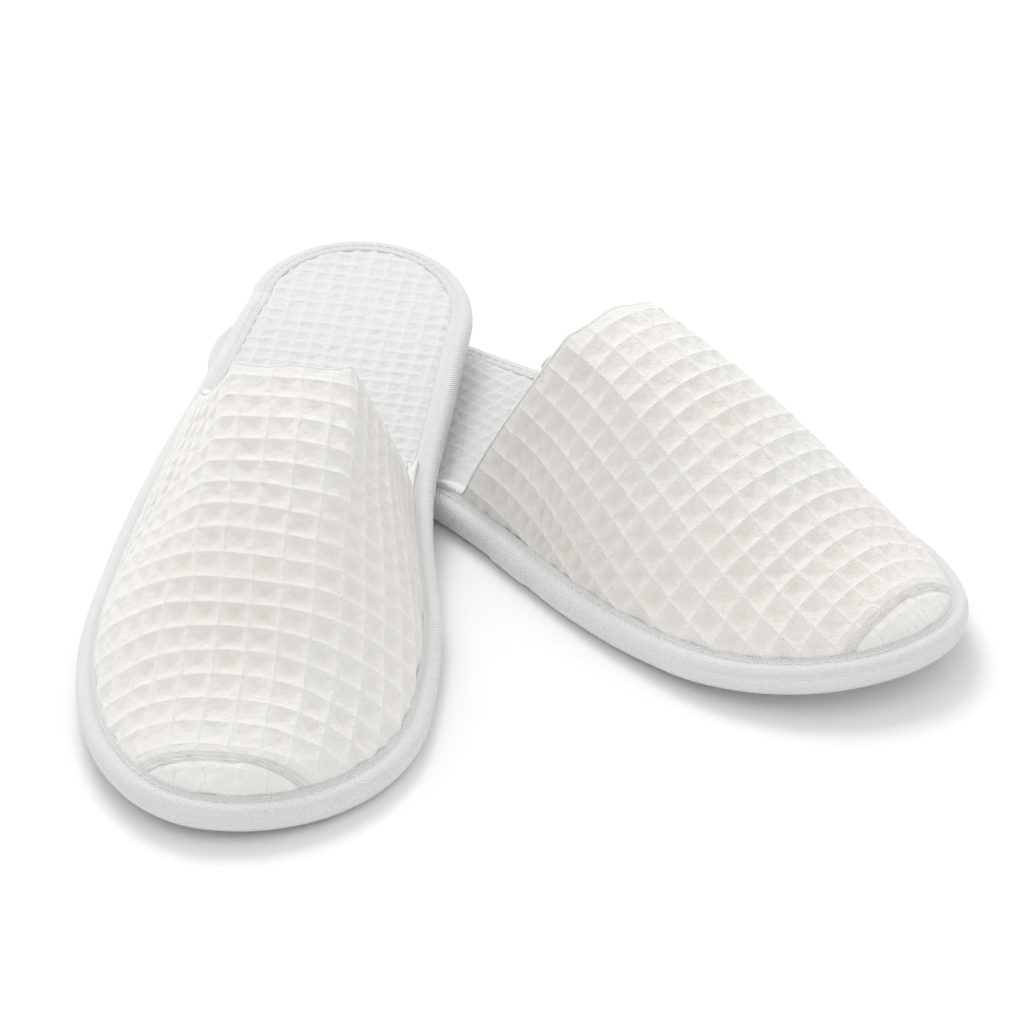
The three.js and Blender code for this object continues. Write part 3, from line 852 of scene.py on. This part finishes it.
# ---- Upper: padding and lining ----
# A thin wadding gives the cloth its body, and a smooth white lining covers it inside.
# Both are cut short of the throat, where the waffle cloth is turned over them.
padding_depth, padding_thickness = 2.1, 0.8
lining_depth, lining_thickness = 3.1, 0.6
lining_cotton = cotton("lining_cotton", (0.89, 0.89, 0.88), (0.87, 0.87, 0.86), 0.5, 0.1)
for number, side in enumerate(lie):
    for name, margin, depth, thickness, material, cad_node, slot in (
            ("upper_padding_sheet", 2.6, padding_depth, padding_thickness, white_foam, "upper_padding",
             "foam"),
            ("upper_lining_sheet", 6.4, lining_depth, lining_thickness, lining_cotton, "upper_lining",
             "lining_cloth")):
        surface, cut = upper_surface[side], throat_cut[side]
        bm, lattice, flat, at_throat, at_seam = upper_panel(surface, cut, margin, upper_step * 3)
        distance_throat, _ = edge_distance(flat, cut.flat[::4])
        distance_seam, _ = edge_distance(flat, surface.seam)
        calm = ease(distance_throat / 9) * ease(distance_seam / 9)
        points, _ = surface_points(surface, flat, at_seam, depth - swell(flat, number) * calm)
        for v, place in zip(bm.verts, points):
            v.co = place
        face_up(bm)
        mesh = mesh_from(bm, name)
        set_relief(mesh, np.full(len(points), 0.7))
        piece = finish_piece(name, side, mesh, read_points(mesh), material, cad_node, uv=lattice)
        thicken(piece, thickness)

# ---- Binding tape ----
# White cotton herringbone tape, folded round the edge of the sole and sewn through all layers.
# It stands up against the cloth along the upper, and its ends lap on the big-toe side.
tape_thickness = 0.6
tape_top = 9.55
tape_bottom = 0.75
tape_count = 760
tape_pitch = 1.05
tape_stripe = 3.6
lap_at = {"left": 149.0, "right": 173.0}
lap_length = 14.0
upper_starts = {1: 122.3, -1: 104.3}


def tape_profile(front, lap):
    """Outer face of the folded tape as (distance in from the edge, height), underside first."""
    middle = (tape_top + tape_bottom) / 2
    half = (tape_top - tape_bottom) / 2
    turn = np.linspace(-np.pi / 2, np.pi / 2, 19)
    bulge = 3.3
    bottom = [(6.5, tape_bottom + 0.1), (5.4, tape_bottom + 0.02), (4.3, tape_bottom)]
    roll = [(bulge * (1 - np.cos(t) ** 0.8), middle + half * np.sin(t)) for t in turn]
    rear = [(4.0, tape_top - 0.02), (4.9, tape_top - 0.14), (5.6, tape_top - 0.16), (6.3, tape_top - 0.2),
            (7.0, tape_top - 0.55)]
    fore = [(3.8, tape_top + 0.10), (4.3, tape_top + 0.25), (4.75, tape_top + 0.55), (5.1, tape_top + 1.0),
            (5.35, tape_top + 1.5)]
    flange = [(a * (1 - front) + b * front, c * (1 - front) + d * front)
              for (a, c), (b, d) in zip(rear, fore)]
    profile = np.array(bottom + roll + flange)
    step = np.gradient(profile, axis=0)
    outward = np.column_stack([-step[:, 1], step[:, 0]])
    outward /= np.linalg.norm(outward, axis=1)[:, None]
    return profile + outward * lap


def upper_front(loop):
    """How far the tape stands up against the upper at each point: 0 at the heel, 1 in front."""
    starts = np.where(loop[:, 0] > 0, upper_starts[1], upper_starts[-1])
    return ease((loop[:, 1] - starts + 9) / 14)


def edge_ring(profiles, loop, inward):
    """Sweeps one profile per loop point round the sole, as a closed band."""
    width = profiles.shape[1]
    count = len(loop)
    bm = bmesh.new()
    bmesh.ops.create_grid(bm, x_segments=count, y_segments=width - 1, size=1)
    order = [(round((v.co.x + 1) / 2 * count), round((v.co.y + 1) / 2 * (width - 1))) for v in bm.verts]
    for v, (i, j) in zip(bm.verts, order):
        depth, height = profiles[i % count, j]
        x, y = loop[i % count] + inward[i % count] * depth
        v.co = (x, y, height + toe_spring(y))
    return bm, np.array(order)


tape_cotton, tape_shader = new_material("herringbone_tape", 0.75)
tape_shader.inputs["Sheen Weight"].default_value = 0.15
tape_uv = node(tape_cotton, "ShaderNodeSeparateXYZ", None,
               {"Vector": node(tape_cotton, "ShaderNodeUVMap", uv_map="weave").outputs["UV"]})
tape_zigzag = node(tape_cotton, "ShaderNodeMath", {1: tape_stripe}, {0: tape_uv.outputs["Y"]},
                   operation="PINGPONG")
tape_sum = node(tape_cotton, "ShaderNodeMath", None, {0: tape_uv.outputs["X"], 1: tape_zigzag.outputs[0]},
                operation="ADD")
tape_turns = node(tape_cotton, "ShaderNodeMath", {1: 2 * math.pi / tape_pitch}, {0: tape_sum.outputs[0]},
                  operation="MULTIPLY")
tape_rib = node(tape_cotton, "ShaderNodeMath", None, {0: tape_turns.outputs[0]}, operation="SINE")
tape_place = node(tape_cotton, "ShaderNodeTexCoord").outputs["Object"]
tape_fluff = node(tape_cotton, "ShaderNodeTexNoise", {"Scale": 1100.0, "Detail": 6.0},
                  {"Vector": tape_place})
tape_cloud = node(tape_cotton, "ShaderNodeTexNoise", {"Scale": 40.0, "Detail": 3.0}, {"Vector": tape_place})
tape_level = node(tape_cotton, "ShaderNodeMapRange", {"From Min": -1.0, "To Min": 0.15, "To Max": 1.0},
                  {"Value": tape_rib.outputs[0]})
tape_tint = tint(tape_cotton, (0.90, 0.90, 0.90), (0.965, 0.965, 0.965), tape_level.outputs["Result"])
tape_cloud_level = node(tape_cotton, "ShaderNodeMapRange", {"To Min": 0.96, "To Max": 1.02},
                        {"Value": tape_cloud.outputs["Fac"]})
tape_base = node(tape_cotton, "ShaderNodeVectorMath", None,
                 {0: tape_tint, 1: tape_cloud_level.outputs["Result"]}, operation="MULTIPLY")
link(tape_cotton, tape_base.outputs["Vector"], tape_shader.inputs["Base Color"])
tape_bump = bump(tape_cotton, 0.8, 0.0002, tape_rib.outputs[0])
tape_bump = bump(tape_cotton, 0.4, 0.00015, tape_fluff.outputs["Fac"], tape_bump)
link(tape_cotton, tape_bump.outputs["Normal"], tape_shader.inputs["Normal"])

edge_loop = sole_loop(0, tape_count)
edge_inward = inward_of(edge_loop)
edge_run = np.linspace(0, 1, tape_count, endpoint=False) * np.linalg.norm(
    np.diff(np.vstack([edge_loop, edge_loop[:1]]), axis=0), axis=1).sum()
tape_front = upper_front(edge_loop)
for number, side in enumerate(lie):
    big_toe_side = edge_loop[:, 0] > 0
    past_lap = edge_loop[:, 1] - lap_at[side]
    lap = np.where(big_toe_side, ease(past_lap / 0.8) * (1 - ease((past_lap - lap_length) / 5)), 0) * 0.55
    ripple = 0.12 * smooth_noise(edge_run, 0 * edge_run, 22, 101 + number)
    profiles = np.array([tape_profile(f, l + r) for f, l, r in zip(tape_front, lap, ripple)])
    bm, order = edge_ring(profiles, edge_loop, edge_inward)
    bmesh.ops.recalc_face_normals(bm, faces=bm.faces)
    mesh = mesh_from(bm, "binding_tape")
    points = read_points(mesh)
    across = np.concatenate([[0], np.cumsum(np.linalg.norm(np.diff(profiles[0], axis=0), axis=1))])
    total = edge_run[1] * tape_count
    uv = np.column_stack([order[:, 0] / tape_count * total, across[order[:, 1]]])
    centre = len(points) // 2
    mesh.update()
    outside = np.array(mesh.vertices[centre].normal[:])
    away = points[centre] - np.array([0, 150, 5])
    if outside[:2] @ away[:2] < 0:
        mesh.flip_normals()
    piece = finish_piece("edge_tape", side, mesh, points, tape_cotton, "binding_tape", uv=uv)
    weld = piece.modifiers.new("weld", "WELD")
    weld.merge_threshold = 0.00001
    thicken(piece, tape_thickness)

# ---- Stitching ----
# White polyester thread in a lockstitch of about eight stitches to the inch, 3.6 mm in from the edge
# underneath and 4.35 mm on top, where the tape rolls over.
# The top row sinks a little into the tape, and the bobbin row lies flat underneath.
stitch_length = 3.1
stitch_points = 8
thread_pitch = 0.55
thread_radius = 0.24
seam_in = {"top": 4.35, "under": 3.6}
thread_white, thread_shader = new_material("polyester_thread", 0.45)
thread_shader.inputs["Sheen Weight"].default_value = 0.1
thread_uv = node(thread_white, "ShaderNodeSeparateXYZ", None,
                 {"Vector": node(thread_white, "ShaderNodeUVMap", uv_map="weave").outputs["UV"]})
thread_twist = node(thread_white, "ShaderNodeMath", None,
                    {0: thread_uv.outputs["X"], 1: thread_uv.outputs["Y"]}, operation="ADD")
thread_turns = node(thread_white, "ShaderNodeMath", {1: 2 * math.pi / thread_pitch},
                    {0: thread_twist.outputs[0]}, operation="MULTIPLY")
thread_ply = node(thread_white, "ShaderNodeMath", None, {0: thread_turns.outputs[0]}, operation="SINE")
thread_level = node(thread_white, "ShaderNodeMapRange", {"From Min": -1.0, "To Min": 0.0, "To Max": 1.0},
                    {"Value": thread_ply.outputs[0]})
thread_tint = tint(thread_white, (0.86, 0.86, 0.86), (0.95, 0.95, 0.95), thread_level.outputs["Result"])
link(thread_white, thread_tint, thread_shader.inputs["Base Color"])
thread_bump = bump(thread_white, 0.8, 0.0001, thread_ply.outputs[0])
link(thread_white, thread_bump.outputs["Normal"], thread_shader.inputs["Normal"])

stitch_count = int(edge_run[1] * tape_count / stitch_length)
thread_loop = sole_loop(0, stitch_count * stitch_points)
thread_inward = inward_of(thread_loop)
for side in lie:
    for row in ("top", "under"):
        count = len(thread_loop)
        phase = (np.arange(count) % stitch_points) / stitch_points
        dip = 0.55 * np.cos(phase * 2 * np.pi) ** 4 * (np.cos(phase * 2 * np.pi) > 0)
        front = upper_front(thread_loop)
        section = np.linspace(0, 2 * np.pi, 7)
        if row == "top":
            base = (tape_top - 0.08) * (1 - front) + (tape_top + 0.3) * front - dip
        else:
            base = np.full(count, tape_bottom - 0.22) + dip
        profiles = np.array([[(seam_in[row] + thread_radius * np.cos(t), z + thread_radius * np.sin(t))
                              for t in section] for z in base])
        bm, order = edge_ring(profiles, thread_loop, thread_inward)
        bmesh.ops.remove_doubles(bm, verts=bm.verts, dist=0.0001)
        bmesh.ops.recalc_face_normals(bm, faces=bm.faces)
        mesh = mesh_from(bm, "thread")
        points = read_points(mesh)
        uv = np.column_stack([points[:, 1], points[:, 0]])
        finish_piece(f"tape_{row}_stitching", side, mesh, points, thread_white, f"tape_{row}_thread",
                     uv=uv)

# ---- Light ----
# A white room gives soft even light, with one large lamp overhead and behind.
world = bpy.data.worlds.new("white_room")
world.use_nodes = True
world.node_tree.nodes["Background"].inputs["Color"].default_value = (1, 1, 1, 1)
world.node_tree.nodes["Background"].inputs["Strength"].default_value = 0.82
scene.world = world


def soft_lamp(name, size, power, location, aim):
    data = bpy.data.lights.new(name, "AREA")
    data.shape = "SQUARE"
    data.size = size
    data.energy = power
    lamp = bpy.data.objects.new(name, data)
    lamp.location = location
    lamp.rotation_euler = (Vector(aim) - Vector(location)).to_track_quat("-Z", "Y").to_euler()
    scene.collection.objects.link(lamp)
    return lamp


soft_lamp("overhead", 0.8, 13.0, (-0.35, 1.0, 1.5), (0, 0, 0))
scene.view_settings.view_transform = "Standard"
scene.view_settings.look = "None"
